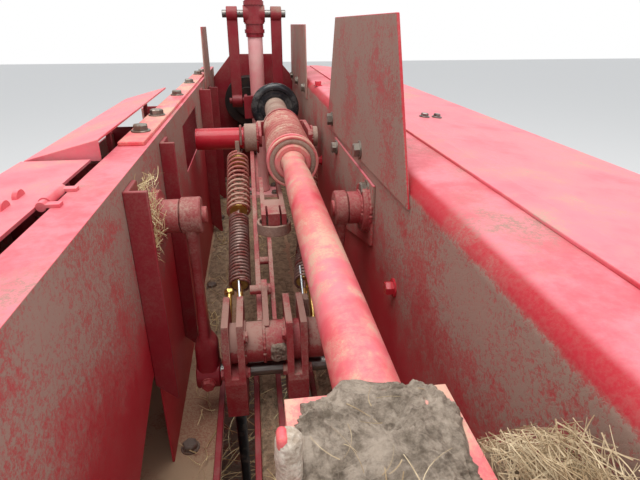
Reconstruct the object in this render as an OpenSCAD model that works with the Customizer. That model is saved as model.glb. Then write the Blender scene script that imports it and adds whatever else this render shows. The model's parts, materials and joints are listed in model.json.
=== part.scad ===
// Cross-feed unit of a square baler: feed channel, slotted deck and swinging feeder carriage.
// Sizes in mm. X across the trough, Y along it away from the near end, Z up from the floor.

/* [Trough] */
// clear width between the two trough walls
trough_w = 258; // [252:1:268]
// length of the channel from near end to outlet flange
channel_len = 1750; // [1730:5:1790]
// thickness of the bent sheet
sheet_t = 3; // [2.5:0.5:4]
// height of the slotted deck above the floor
deck_z = 360; // [350:2:380]
// height of the trough walls above the deck
wall_h = 372; // [366:2:384]
// width of the base frame across the channel
base_w = 800; // [790:5:840]
// height of the base, half bearers and half rails
base_h = 60; // [56:2:70]
// width of each tine slot in the deck
slot_w = 42; // [40:1:46]

/* [Linkage] */
// height of the feeder bar and front pivots above the deck
bar_h = 292; // [286:1:296]
// length of the levers between pivot centres
lever_len = 235; // [231:1:238]
// distance along the channel between front and rear pivots
carriage_len = 949; // [940:1:960]
// diameter of the pivot shafts
shaft_d = 20; // [16:1:22]
// running clearance in the bores, on the diameter
fit = 0.6; // [0.4:0.1:0.8]

/* [Carriage] */
// outer diameter of the feeder bar
bar_d = 42.4; // [38:0.2:44]
// offset of the feeder bar to the right of the trough centre
bar_x = 53; // [50:1:55]
// outer diameter of the overload spring
coil_od = 82; // [78:1:84]
// wire diameter of the overload spring
coil_wire = 12; // [10:0.5:13]
// turns of the overload spring
coil_turns = 10; // [8:0.5:11]
// outer diameter of the lower cross tube
lower_tube_d = 55; // [50:1:57]
// outer diameter of the left upper tension spring
tension_od = 42; // [36:1:43]
// outer diameter of the sleeve behind the overload spring
sleeve_d = 58; // [54:1:62]
// outer diameter of the buffer ring
ring_d = 130; // [120:1:134]
// height of the tine tips above the floor pan
tip_gap = 50; // [40:2:80]

/* [Hidden] */
$fn = 48;
hw = trough_w / 2;
hl = channel_len / 2;
t = sheet_t;
pan_z = base_h + t;
wall_top = deck_z + wall_h;
bar_z = deck_z + bar_h;
rear_y = hl - 230;
front_y = rear_y - carriage_len;
low_z = bar_z - lever_len;
top_z = bar_z + lever_len;
pan_w = 480;
near_y = -hl + 130;
bore_d = shaft_d + fit;

slot_lx = -50;
slot_rx = 33;
slot_y0 = -hl + 50;
slot_y1 = front_y + 150;
step_y = front_y - 96;

seat_y = front_y + 224;
seat_t = 24;
coil_y = seat_y + seat_t;
coil_len = 264;
yoke_y = coil_y + coil_len;
hub_y = front_y + 422;
ring_y = rear_y - 165;
ring_t = 28;
side_in = coil_od / 2 + 5;
tube_z = low_z + 46;
post_x = 10;
plate_x = bar_x - side_in - 25;
collar_x = 15;
collar_y = front_y + 149;
collar_z = tube_z + 109;
post_d = 42.4;
prong_gap = 11;
pin_d = 16;
prong_l = post_x - post_d / 2 - prong_gap;
prong_r = post_x + post_d / 2 + prong_gap;
arm_gap = 6;
arm_w = 30;
bend_r = 18;
crease_x = hw + 84;
cover_out = base_w / 2 - 8;
flange_w = 37;
hinge_x = -(hw + flange_w + 6);
hinge_z = wall_top + 1;
hinge_tube = 10;
cover_rise = 20;
lid_y0 = -hl + 60;
lid_y1 = -hl + 533;
side_out = pan_w / 2 + 4;
bracket_top = wall_top - 28;

// box between two corners
module slab(x0, x1, y0, y1, z0, z1) {
    translate([x0, y0, z0])
        cube([x1 - x0, y1 - y0, z1 - z0]);
}

// round bar along X
module xrod(d, x0, x1, y, z) {
    translate([x0, y, z])
        rotate([0, 90, 0])
            cylinder(d = d, h = x1 - x0);
}

// round bar along Y
module yrod(d, y0, y1, x, z) {
    translate([x, y0, z])
        rotate([-90, 0, 0])
            cylinder(d = d, h = y1 - y0);
}

// round bar along Z
module zrod(d, z0, z1, x, y) {
    translate([x, y, z0])
        cylinder(d = d, h = z1 - z0);
}

// plate in the length-height plane, points are [y, z]
module side_plate(pts, x0, x1) {
    translate([x0, 0, 0])
        rotate([90, 0, 90])
            linear_extrude(x1 - x0)
                polygon(pts);
}

// plate across the channel, points are [x, z]
module cross_plate(pts, y0, y1) {
    translate([0, y1, 0])
        rotate([90, 0, 0])
            linear_extrude(y1 - y0)
                polygon(pts);
}

// lever in the length-height plane between two eyes, points are [y, z]
module lever(a, b, w, x0, x1) {
    d = b - a;
    n = [-d[1], d[0]] / norm(d) * w / 2;
    side_plate([a + n, b + n, b - n, a - n], x0, x1);
}

// helical spring between two points: mean radius, wire radius, turns, steps a turn, sides
module helix(p, q, r, w, turns, steps, sides) {
    d = q - p;
    len = norm(d);
    az = atan2(d[1], d[0]);
    el = acos(d[2] / len);
    n = ceil(turns * steps);
    rise = (len - 2 * w) / n;
    slope = atan2(rise, 2 * PI * r / steps);
    points = [for (i = [0:n]) let (a = 360 * i / steps)
        for (k = [0:sides - 1]) let (b = 360 * k / sides)
            let (u = w * cos(b), v = w * sin(b))
                [(r + u) * cos(a) + v * sin(slope) * sin(a),
                 (r + u) * sin(a) - v * sin(slope) * cos(a),
                 w + rise * i + v * cos(slope)]];
    walls = [for (i = [0:n - 1]) for (k = [0:sides - 1])
        let (m = (k + 1) % sides, c = i * sides, e = (i + 1) * sides)
            for (f = [[c + k, c + m, e + m], [c + k, e + m, e + k]]) f];
    cap0 = [for (k = [1:sides - 2]) [0, k + 1, k]];
    cap1 = [for (k = [1:sides - 2]) [n * sides, n * sides + k, n * sides + k + 1]];
    faces = [for (f = concat(walls, cap0, cap1)) [f[2], f[1], f[0]]];
    translate(p)
        rotate([0, el, az])
            polyhedron(points = points, faces = faces);
}

// Base and crop channel

module bearers() color("firebrick") {
    difference() {
        for (y = [-hl, -25, hl - 50])
            difference() {
                slab(-base_w / 2, base_w / 2, y, y + 50, 0, base_h / 2);
                slab(-base_w / 2 - 1, base_w / 2 + 1, y + 4, y + 46, 4, base_h / 2 - 4);
            }
        for (x = [-1, 1], y = [-1, 1])
            zrod(14, -1, base_h + 1, x * (base_w / 2 - 30), y * (hl - 25));
    }
}

module base_rails() color("firebrick") {
    for (x = [-pan_w / 2, pan_w / 2 - 50])
        difference() {
            slab(x, x + 50, -hl, hl, base_h / 2, base_h);
            slab(x + 4, x + 46, -hl - 1, hl + 1, base_h / 2 + 4, base_h - 4);
        }
}

module floor_pan() color("firebrick") {
    slab(-pan_w / 2, pan_w / 2, -hl, hl, base_h, pan_z);
}

module channel_side() color("firebrick") {
    slab(-pan_w / 2, -pan_w / 2 + t, -hl, hl - 8, pan_z, deck_z - t);
    for (y = [-hl + 300, 0, hl - 300])
        slab(-pan_w / 2 - 25, -pan_w / 2, y, y + 30, base_h, deck_z - t);
}

module channel_posts() color("firebrick") {
    for (y = [-hl, -15, hl - 38])
        slab(pan_w / 2 - 30, pan_w / 2, y, y + 30, pan_z, deck_z - t);
}

module near_end() color("firebrick") {
    slab(-pan_w / 2 + t, pan_w / 2 - 30, -hl, -hl + t, pan_z, deck_z - t);
}

module outlet_flange() color("firebrick") {
    difference() {
        slab(-pan_w / 2 - 40, pan_w / 2 + 40, hl - 8, hl, base_h, deck_z - t);
        slab(-pan_w / 2 + 10, pan_w / 2 - 10, hl - 9, hl + 1, base_h - 1, deck_z - t - 30);
        for (x = [-1, 1], z = [base_h + 40, base_h + 140, base_h + 240])
            yrod(12, hl - 9, hl + 1, x * (pan_w / 2 + 22), z);
        slab(-pan_w / 2 - 1, pan_w / 2 + 1, hl - 9, hl + 1, base_h - 1, pan_z);
    }
}

module deck() color("firebrick") {
    slab(-pan_w / 2, pan_w / 2, -hl, slot_y0, deck_z - t, deck_z);
    slab(-pan_w / 2, pan_w / 2, slot_y1, hl, deck_z - t, deck_z);
}

module slot_strips() color("sienna") {
    for (x = [[-pan_w / 2, slot_lx - slot_w / 2], [slot_lx + slot_w / 2, slot_rx - slot_w / 2],
              [slot_rx + slot_w / 2, pan_w / 2]])
        slab(x[0], x[1], slot_y0, slot_y1, deck_z - t, deck_z);
}

module slot_rails() color("firebrick") {
    for (x = [slot_lx, slot_rx], s = [-1, 1])
        slab(x + s * (slot_w / 2 + 4) - 4, x + s * (slot_w / 2 + 4) + 4,
             slot_y0, slot_y1, deck_z, deck_z + 10);
}

// Trough walls and covers

module left_wall() color("firebrick") {
    difference() {
        union() {
            side_plate([[-hl, deck_z + 60], [step_y - 125, deck_z + 119], [step_y - 32, deck_z + 154],
                        [step_y, deck_z + 154], [step_y, deck_z], [hl - 8, deck_z],
                        [hl - 8, wall_top], [-hl, wall_top]], -hw - t, -hw);
            slab(-hw - flange_w, -hw, -hl, hl - 8, wall_top - t, wall_top);
        }
        slab(-hw - t - 1, -hw + 1, hub_y - 118, hub_y + 118, bar_z - 34, bar_z + 48);
    }
}

module left_stiffeners() color("darkred") {
    // columns: near edge, depth into the trough, drop below the wall's top, foot above the deck
    for (c = [[step_y - 24, 22, 10, 120], [front_y + 79, 19, 10, 46],
              [hub_y + 210, 26, 10, 0], [rear_y - 60, 26, 34, 0]]) {
        slab(-hw, -hw + 5, c[0], c[0] + 40, deck_z + c[3] + c[1], wall_top - c[2]);
        cross_plate([[-hw, deck_z + c[3] + c[1]], [-hw + c[1], deck_z + c[3]], [-hw + c[1], wall_top - c[2]],
                     [-hw, wall_top - c[2]]], c[0], c[0] + 5);
    }
}

module flange_strap() color("firebrick") {
    slab(-hw - flange_w + 2, -hw - 5, lid_y1 + 60, rear_y - 40, wall_top, wall_top + 5);
}

module right_wall() color("firebrick") {
    slab(hw, hw + t, -hl, hl - 8, deck_z, wall_top - bend_r);
    translate([0, hl - 8, 0])
        rotate([90, 0, 0])
            linear_extrude(channel_len - 8)
                translate([hw + bend_r, wall_top - bend_r])
                    intersection() {
                        difference() {
                            circle(r = bend_r);
                            circle(r = bend_r - t);
                        }
                        translate([-bend_r - 1, 0])
                            square([bend_r + 1, bend_r + 1]);
                    }
    slab(hw + bend_r, crease_x, -hl, hl - 8, wall_top - t, wall_top);
}

module right_cover() color("indianred") {
    cross_plate([[crease_x - 24, wall_top], [crease_x, wall_top], [cover_out, wall_top - 20],
                 [cover_out, wall_top - 48], [cover_out + t, wall_top - 48], [cover_out + t, wall_top - 17],
                 [crease_x, wall_top + t], [crease_x - 24, wall_top + t]], -hl + 12, hl - 40);
}

module right_struts() color("darkred") {
    for (y = [-hl + 120, 0, hl - 160]) {
        cross_plate([[hw + t, wall_top - 70], [hw + t, wall_top - 30], [crease_x - 4, wall_top - t],
                     [crease_x, wall_top - t], [crease_x, wall_top - 16]], y, y + 6);
        cross_plate([[pan_w / 2 - 20, deck_z], [pan_w / 2, deck_z], [cover_out, wall_top - 20],
                     [cover_out - 26, wall_top - 20 + 26 * 20 / (cover_out - crease_x)]], y + 6, y + 12);
    }
}

module guard_near_right() color("indianred") {
    side_plate([[front_y - 157, wall_top - 26], [front_y + 329, wall_top - 42],
                [front_y + 256, wall_top + 138], [front_y - 84, wall_top + 138]], hw - t, hw);
}

module guard_far_right() color("indianred") {
    side_plate([[rear_y - 276, wall_top - 42], [hl - 44, wall_top - 42],
                [hl - 60, wall_top + 128], [rear_y - 250, wall_top + 128]], hw - t, hw);
}

module guard_far_left() color("indianred") {
    side_plate([[rear_y - 157, wall_top - 30], [rear_y + 40, wall_top - 30],
                [rear_y + 20, wall_top + 122], [rear_y - 130, wall_top + 122]], -hw, -hw + t);
}

module patch_plate() color("firebrick") {
    side_plate([[front_y - 30, bar_z - 40], [front_y + 120, bar_z - 80], [front_y + 240, bar_z - 50],
                [front_y + 240, bar_z + 36], [front_y - 30, bar_z + 36]], hw - 4, hw);
}

// Fixed pivots and drive end

module front_pivots() color("firebrick") {
    xrod(64, -hw, -hw + 8, front_y, bar_z);
    xrod(40, -hw + 8, -hw + 29, front_y, bar_z);
    xrod(shaft_d, -hw + 29, -hw + 60, front_y, bar_z);
    xrod(60, hw - 12, hw - 4, front_y, bar_z);
    xrod(40, hw - 28, hw - 12, front_y, bar_z);
    xrod(shaft_d, hw - 47, hw - 28, front_y, bar_z);
}

module rear_post() color("firebrick") {
    slab(post_x - 50, post_x + 50, rear_y - 50, rear_y + 50, deck_z, deck_z + 10);
    zrod(post_d, deck_z + 10, top_z - 60, post_x, rear_y);
}

module post_head() color("darkred") {
    difference() {
        union() {
            zrod(50, top_z - 60, top_z + 42, post_x, rear_y);
            for (z = [-50, -26, 22])
                zrod(56, top_z + z, top_z + z + 10, post_x, rear_y);
            xrod(44, post_x - 30, post_x + 30, rear_y, top_z);
        }
        xrod(bore_d, post_x - 40, post_x + 40, rear_y, top_z);
    }
}

module bulkhead() color("firebrick") {
    cross_plate([[-hw, deck_z], [hw, deck_z], [hw, wall_top - 30], [hw - 60, wall_top + 40],
                 [-hw + 60, wall_top + 40], [-hw, wall_top - 30]], hl - 40, hl - 34);
}

module drive_case() color("dimgray") {
    yrod(150, hl - 110, hl - 40, -20, bar_z - 20);
    yrod(90, hl - 120, hl - 110, -20, bar_z - 20);
    slab(-60, 20, hl - 100, hl - 40, bar_z - 180, bar_z - 80);
}

// top of the sloping left cover at a place across the channel
function cover_z(x) = wall_top + cover_rise * (x + side_out) / (hinge_x + 4 + side_out);

module side_brackets() color("darkred") {
    // columns: place along the channel, share of the cover's rise that the support follows
    for (c = [[lid_y0 + 60, 0], [lid_y1 - 60, 0], [lid_y1 + 100, 1], [hub_y - 130, 1]]) {
        y = c[0];
        slab(-side_out, -hw - t, y - 3, y + 3, bracket_top - 8, bracket_top);
        slab(-hw - flange_w, -hw - t, y - 3, y + 3, bracket_top, wall_top - t);
        cross_plate([[hinge_x - 14, bracket_top], [hinge_x - 8, bracket_top],
                     [hinge_x - 8, wall_top - t + c[1] * (cover_z(hinge_x - 8) - wall_top)],
                     [hinge_x - 14, wall_top - t + c[1] * (cover_z(hinge_x - 14) - wall_top)]], y - 3, y + 3);
        slab(-pan_w / 2, -pan_w / 2 + 25, y - 3, y + 3, deck_z, bracket_top - 8);
    }
    slab(-pan_w / 2, -hw - t, hub_y + 146, hub_y + 150, deck_z, bracket_top - 8);
}

module side_panel() color("firebrick") {
    difference() {
        slab(-side_out, -pan_w / 2, lid_y0, hub_y + 150, deck_z, bracket_top - 8);
        slab(-side_out - 1, -pan_w / 2 + 1, hub_y - 118, hub_y + 118, bar_z - 34, bracket_top);
    }
}

module side_tray() color("firebrick") {
    slab(-pan_w / 2, -hw - t, lid_y0 + 63, lid_y1 - 63, bracket_top - 90, bracket_top - 87);
}

module left_cover() color("indianred") {
    x0 = -side_out + t;
    x1 = hinge_x + 4;
    cross_plate([[-side_out, bracket_top], [x0, bracket_top], [x0, cover_z(x0) - t], [x1, cover_z(x1) - t],
                 [x1, cover_z(x1)], [-side_out, wall_top]], lid_y1 + 6, hub_y);
    cross_plate([[x0, cover_z(x0) - t], [x1, wall_top - t], [x1, cover_z(x1) - t]],
                lid_y1 + 6, lid_y1 + 6 + t);
}

// Side lid on its hinges

hinge_ys = [lid_y0 + 90, lid_y1 - 136];
knuckle_len = 30;

module side_lid() color("indianred") {
    difference() {
        union() {
            slab(-side_out, hinge_x - hinge_tube / 2 + 0.5, lid_y0, lid_y1, hinge_z - t, hinge_z);
            slab(-side_out, -side_out + t, lid_y0, lid_y1, bracket_top + 0.3, hinge_z - t);
            for (y = hinge_ys)
                yrod(hinge_tube, y, y + knuckle_len, hinge_x, hinge_z);
        }
        for (y = hinge_ys)
            yrod(hinge_tube / 2 + fit, y - 1, y + knuckle_len + 1, hinge_x, hinge_z);
    }
    // two half-round tabs pushed up beside the hinge
    for (y = [hinge_ys[1] - 7, hinge_ys[1] + 20])
        side_plate([for (a = [0:20:180]) [y + 8 * cos(a), hinge_z + 6 * sin(a)]],
                   hinge_x - 29, hinge_x - 25);
}

module lid_hinges() color("firebrick") {
    for (y = hinge_ys) {
        for (e = [y - 8.5, y + knuckle_len + 0.5]) {
            slab(hinge_x, -hw - flange_w + 8, e, e + 8, wall_top, wall_top + 3);
            yrod(hinge_tube - 2, e, e + 8, hinge_x, hinge_z);
        }
        yrod(hinge_tube / 2, y - 8.5, y + knuckle_len + 8.5, hinge_x, hinge_z);
    }
}

// Front levers

// lever columns: both faces of the upper eye, of the bar and of the lower eye
front_levers_x = [[-hw + 30, -hw + 54, -hw + 31, -hw + 49, -hw + 25, -hw + 57],
                  [hw - 44, hw - 29, hw - 44, hw - 29, hw - 51, hw - 25]];

module front_levers() color("firebrick") {
    difference() {
        for (v = front_levers_x) {
            xrod(44, v[0], v[1], front_y, bar_z);
            xrod(40, v[4], v[5], front_y, low_z);
            lever([front_y, bar_z], [front_y, low_z], 30, v[2], v[3]);
            lever([front_y, low_z + 60], [front_y, low_z], 34, v[4], v[5]);
        }
        xrod(bore_d, -120, 120, front_y, bar_z);
        xrod(shaft_d, -120, 120, front_y, low_z);
    }
}

module lower_shaft() color("gray") {
    xrod(shaft_d, -hw + 24, hw - 19, front_y, low_z);
}

// Rear arms

module rear_arms() color("darkred") {
    difference() {
        for (x = [prong_l - 8 - arm_gap - arm_w, prong_r + 8 + arm_gap]) {
            xrod(38, x, x + arm_w, rear_y, bar_z);
            xrod(38, x, x + arm_w, rear_y, top_z);
            lever([rear_y, bar_z], [rear_y, top_z], 18, x, x + arm_w);
        }
        xrod(pin_d + fit, -120, 120, rear_y, bar_z);
        xrod(shaft_d, -120, 120, rear_y, top_z);
    }
}

module rear_shaft() color("gray") {
    xrod(shaft_d, prong_l - 20 - arm_gap - arm_w, prong_r + 20 + arm_gap + arm_w, rear_y, top_z);
}

// Carriage

module lower_cross_tube() color("firebrick") {
    difference() {
        xrod(lower_tube_d, -66, 70, front_y, tube_z);
        xrod(lower_tube_d - 10, -67, 71, front_y, tube_z);
    }
}

// clamp around the lower cross tube and shaft that also holds an inner tine
module clamp(x0, x1) {
    difference() {
        side_plate([[front_y - 40, deck_z + 10], [front_y + 30, deck_z + 10], [front_y + 40, low_z],
                    [front_y + 46, tube_z + 46], [front_y - 30, tube_z + 46], [front_y - 44, low_z + 10]],
                   x0, x1);
        xrod(lower_tube_d, x0 - 1, x1 + 1, front_y, tube_z);
        xrod(bore_d, x0 - 1, x1 + 1, front_y, low_z);
        slab(x0 + 9, x1 - 9, front_y - 60, front_y + 60, low_z + 18, tube_z + 60);
    }
}

module tine_clamps() color("firebrick") {
    for (x = [slot_lx, slot_rx])
        clamp(x - 14, x + 14);
}

// curved tine hanging from a holder, points are [y, z]
module tine(x, y, z) {
    drop = z - pan_z - tip_gap;
    front = [for (i = [0:10]) [y - 16 + 22 * pow(i / 10, 2), z - drop * i / 10]];
    back = [for (i = [10:-1:0]) [y + 16 - 2 * i / 10 - 4 * pow(i / 10, 2), z - drop * i / 10]];
    side_plate(concat(front, back), x - 8, x + 8);
}

module inner_tines() color("black") {
    for (x = [slot_lx, slot_rx])
        tine(x, front_y, deck_z + 10);
}

module feeder_bar() color("indianred") {
    difference() {
        yrod(bar_d, near_y, yoke_y + 120, bar_x, bar_z);
        yrod(bar_d - 8, near_y - 1, yoke_y + 121, bar_x, bar_z);
    }
}

module near_bracket() color("firebrick") {
    difference() {
        union() {
            slab(bar_x - 53, bar_x + 37, near_y + 15, near_y + 90, bar_z - 40, bar_z + 25);
            slab(slot_lx - 15, bar_x + 37, near_y + 30, near_y + 80, bar_z - 70, bar_z - 40);
            for (x = [slot_lx, slot_rx])
                slab(x - 12, x + 12, near_y + 35, near_y + 75, deck_z + 90, bar_z - 70);
        }
        yrod(bar_d, near_y, near_y + 100, bar_x, bar_z);
    }
}

module outer_tines() color("black") {
    for (x = [slot_lx, slot_rx])
        tine(x, near_y + 55, deck_z + 90);
}

module spring_seat() color("sienna") {
    difference() {
        union() {
            yrod(coil_od + 4, seat_y, seat_y + 8, bar_x, bar_z);
            yrod(coil_od + 4, seat_y + 18, seat_y + seat_t, bar_x, bar_z);
            yrod(bar_d + 14, seat_y + 8, seat_y + 18, bar_x, bar_z);
            yrod(bar_d + 18, seat_y - 6, seat_y, bar_x, bar_z);
        }
        yrod(bar_d, seat_y - 7, seat_y + seat_t + 1, bar_x, bar_z);
    }
}

module overload_spring() color("gray") {
    helix([bar_x, coil_y, bar_z], [bar_x, yoke_y, bar_z],
          (coil_od - coil_wire) / 2, coil_wire / 2, coil_turns, 18, 8);
}

module spring_yoke() color("firebrick") {
    difference() {
        union() {
            for (s = [-1, 1])
                side_plate([[hub_y - 22, bar_z - 8], [hub_y - 14, bar_z - 16], [yoke_y + 8, bar_z - 16],
                            [yoke_y + 8, bar_z + 16], [hub_y - 14, bar_z + 16], [hub_y - 22, bar_z + 8]],
                           bar_x + s * (side_in + 4) - 4, bar_x + s * (side_in + 4) + 4);
            slab(bar_x - side_in - 8, bar_x + side_in + 8, yoke_y, yoke_y + 8, bar_z - 16, bar_z + 16);
            yrod(coil_od + 2, yoke_y, yoke_y + 8, bar_x, bar_z);
            slab(bar_x + side_in, bar_x + side_in + 8, hub_y - 24, hub_y + 4, bar_z - 58, bar_z - 16);
        }
        yrod(bar_d + 0.6, yoke_y - 1, yoke_y + 9, bar_x, bar_z);
    }
}

module sleeve() color("tan") {
    difference() {
        yrod(sleeve_d, yoke_y + 8, ring_y + ring_t, bar_x, bar_z);
        yrod(bar_d + 0.6, yoke_y + 7, ring_y + ring_t + 1, bar_x, bar_z);
    }
}

module buffer_ring() color("black") {
    difference() {
        yrod(ring_d, ring_y, ring_y + ring_t, bar_x, bar_z);
        yrod(sleeve_d, ring_y - 1, ring_y + ring_t + 1, bar_x, bar_z);
    }
}

module rear_yoke() color("firebrick") {
    y0 = ring_y + ring_t;
    slab(prong_l - 8, bar_x + 40, y0, y0 + 8, bar_z - 30, bar_z + 30);
    for (x = [prong_l - 8, prong_r])
        slab(x, x + 8, y0 + 8, rear_y + 16, bar_z - 16, bar_z + 16);
    xrod(pin_d, prong_l - 8 - arm_gap - arm_w - 8, prong_l - 8, rear_y, bar_z);
    xrod(pin_d, prong_r + 8, prong_r + 8 + arm_gap + arm_w + 8, rear_y, bar_z);
}

// hub columns: outer diameter, bore, gap from the yoke plate, length
hubs = [[-1, 56, 24, 26], [1, 40, 20, 12]];

module yoke_hubs() color("tan") {
    for (h = hubs)
        difference() {
            translate([bar_x + h[0] * (side_in + 8 + h[3] / 2), hub_y, bar_z])
                rotate([0, 90, 0])
                    cylinder(d = h[1], h = h[3], center = true);
            translate([bar_x + h[0] * (side_in + 8 + h[3] / 2), hub_y, bar_z])
                rotate([0, 90, 0])
                    cylinder(d = h[2], h = h[3] + 2, center = true);
        }
}

module upper_cross_tube() color("red") {
    difference() {
        xrod(42, -hw + 7, bar_x - side_in - 34, hub_y, bar_z);
        xrod(24, -hw + 6, bar_x - side_in - 33, hub_y, bar_z);
    }
}

module carriage_plate() color("firebrick") {
    difference() {
        side_plate([[front_y - 12, tube_z + 16], [front_y + 22, tube_z], [hub_y + 60, bar_z - 46],
                    [hub_y + 60, bar_z - 22], [hub_y - 20, bar_z - 22]], plate_x, plate_x + 8);
        xrod(lower_tube_d + 0.6, plate_x - 1, plate_x + 9, front_y, tube_z);
        xrod(hubs[0][1], plate_x - 1, plate_x + 9, hub_y, bar_z);
    }
}

// second plate under the collar, its pins and rails, and the short link on the tube
module centre_links() color("firebrick") {
    difference() {
        union() {
            side_plate([[front_y + 4, tube_z + 20], [front_y + 26, tube_z + 4],
                        [collar_y + 20, collar_z - 42], [collar_y + 20, collar_z - 9],
                        [collar_y - 35, collar_z - 9]], collar_x - 12, collar_x - 6);
            lever([front_y + 42, tube_z + 57], [front_y, tube_z + 20], 24, plate_x + 8, plate_x + 16);
            xrod(28, plate_x + 8, plate_x + 16, front_y + 42, tube_z + 57);
        }
        xrod(lower_tube_d + 0.6, -100, 100, front_y, tube_z);
    }
    xrod(13, plate_x - 8, plate_x + 8, front_y + 42, tube_z + 57);
    xrod(12, plate_x + 8, collar_x - 12, collar_y - 25, collar_z - 48);
    for (x = [collar_x - 19, collar_x + 12])
        slab(x, x + 7, collar_y - 19, collar_y + 180, collar_z + 8, collar_z + 26);
    slab(collar_x - 12, collar_x + 12, collar_y + 20, collar_y + 50, collar_z + 8, collar_z + 26);
    slab(collar_x - 9, collar_x + 9, collar_y - 18, collar_y + 20, collar_z - 9, collar_z + 26);
    side_plate([[collar_y + 150, collar_z + 8], [collar_y + 180, collar_z + 8], [hub_y + 20, bar_z - 41],
                [hub_y + 20, bar_z - 30], [hub_y - 4, bar_z - 30]], plate_x + 8, collar_x - 19);
}

module link_collar() color("tan") {
    difference() {
        zrod(53, collar_z - 9, collar_z + 8, collar_x, collar_y);
        zrod(44, collar_z - 10, collar_z + 9, collar_x, collar_y);
    }
}

// Tension springs. Columns: top eye, low eye, outer diameter of the upper spring
springs = [[[slot_lx + 8, hub_y - 24, bar_z - 24], [slot_lx + 8, front_y + 62, tube_z + 20], tension_od],
           [[bar_x + side_in + 4, hub_y - 24, bar_z - 50], [slot_rx + 18, front_y + 62, tube_z + 20],
            tension_od - 9]];
spring_wire = 5.6;
low_od = 34;
low_wire = 4;

function along(s, k) = s[0] + (s[1] - s[0]) * k;

// far face of a tine clamp at a height
function clamp_far(z) = front_y + 40 + 6 * (z - low_z) / (tube_z + 46 - low_z);

// round bar between two points
module rod(d, a, b) {
    e = b - a;
    translate(a)
        rotate([0, acos(e[2] / norm(e)), atan2(e[1], e[0])])
            cylinder(d = d, h = norm(e));
}

module spring_hooks() color("firebrick") {
    difference() {
        union() {
            slab(slot_lx + 4, slot_lx + 12, hub_y - 24, hub_y + 4, bar_z - 44, bar_z);
            for (c = [[slot_lx + 5, slot_lx + 14], [slot_rx + 5, slot_rx + 24]])
                side_plate([[clamp_far(tube_z + 6), tube_z + 6], [front_y + 62, tube_z + 6],
                            [front_y + 62, tube_z + 34], [clamp_far(tube_z + 34), tube_z + 34]], c[0], c[1]);
        }
        xrod(42.6, -hw, bar_x - side_in, hub_y, bar_z);
    }
}

module upper_tension_springs() color("gray") {
    for (s = springs)
        helix(along(s, 0.05), along(s, 0.46), (s[2] - spring_wire) / 2, spring_wire / 2, 12, 12, 6);
}

module lower_tension_springs() color("gray") {
    for (s = springs)
        helix(along(s, 0.50), along(s, 0.90), (low_od - low_wire) / 2, low_wire / 2, 14, 12, 6);
}

// link rods with a plug inside each spring end
module spring_links() color("goldenrod") {
    for (s = springs) {
        up = s[2] - 2 * spring_wire - 0.8;
        low = low_od - 2 * low_wire - 0.8;
        rod(9, along(s, 0.005), along(s, 0.06));
        rod(up, along(s, 0.055), along(s, 0.08));
        rod(up, along(s, 0.43), along(s, 0.455));
        rod(9, along(s, 0.45), along(s, 0.51));
        rod(low, along(s, 0.505), along(s, 0.53));
        rod(low, along(s, 0.87), along(s, 0.895));
        rod(9, along(s, 0.89), along(s, 0.995));
    }
}

bearers();
base_rails();
floor_pan();
channel_side();
channel_posts();
near_end();
outlet_flange();
deck();
slot_strips();
slot_rails();
left_wall();
left_stiffeners();
flange_strap();
right_wall();
right_cover();
right_struts();
guard_near_right();
guard_far_right();
guard_far_left();
patch_plate();
front_pivots();
rear_post();
post_head();
bulkhead();
drive_case();
side_brackets();
side_panel();
side_tray();
left_cover();
side_lid();
lid_hinges();
front_levers();
lower_shaft();
rear_arms();
rear_shaft();
lower_cross_tube();
tine_clamps();
inner_tines();
feeder_bar();
near_bracket();
outer_tines();
spring_seat();
overload_spring();
spring_yoke();
sleeve();
buffer_ring();
rear_yoke();
yoke_hubs();
upper_cross_tube();
carriage_plate();
spring_hooks();
upper_tension_springs();
lower_tension_springs();
spring_links();
centre_links();
link_collar();
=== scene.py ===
"""Dressed model of a square baler's cross-feed unit: red enamelled sheet steel under field dust.

Sizes are in millimetres, in the frame of the CAD model: X across the trough to the right, Y along
it away from the near end, Z up from the floor. Meshes, lamps and the camera are in metres.
"""

import json
import math

import bmesh
import bpy
import numpy as np
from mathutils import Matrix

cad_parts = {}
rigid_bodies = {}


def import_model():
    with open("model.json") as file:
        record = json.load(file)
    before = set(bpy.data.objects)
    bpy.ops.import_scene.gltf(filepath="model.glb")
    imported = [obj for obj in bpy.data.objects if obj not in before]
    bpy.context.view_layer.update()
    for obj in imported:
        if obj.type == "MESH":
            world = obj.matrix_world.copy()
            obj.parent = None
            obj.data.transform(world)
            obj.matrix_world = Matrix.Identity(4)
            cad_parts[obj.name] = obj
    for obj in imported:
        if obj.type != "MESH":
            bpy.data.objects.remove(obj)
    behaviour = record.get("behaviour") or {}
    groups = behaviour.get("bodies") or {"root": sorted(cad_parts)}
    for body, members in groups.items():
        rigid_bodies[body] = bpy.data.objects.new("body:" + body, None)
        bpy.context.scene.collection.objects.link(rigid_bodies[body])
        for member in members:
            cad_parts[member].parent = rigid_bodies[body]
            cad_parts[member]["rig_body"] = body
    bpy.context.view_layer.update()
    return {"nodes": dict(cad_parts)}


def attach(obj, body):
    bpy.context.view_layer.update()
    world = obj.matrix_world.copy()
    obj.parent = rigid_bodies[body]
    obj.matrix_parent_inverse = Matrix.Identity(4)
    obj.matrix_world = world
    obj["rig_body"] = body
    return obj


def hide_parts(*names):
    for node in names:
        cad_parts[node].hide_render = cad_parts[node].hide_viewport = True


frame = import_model()

# ---- sizes and places

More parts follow.
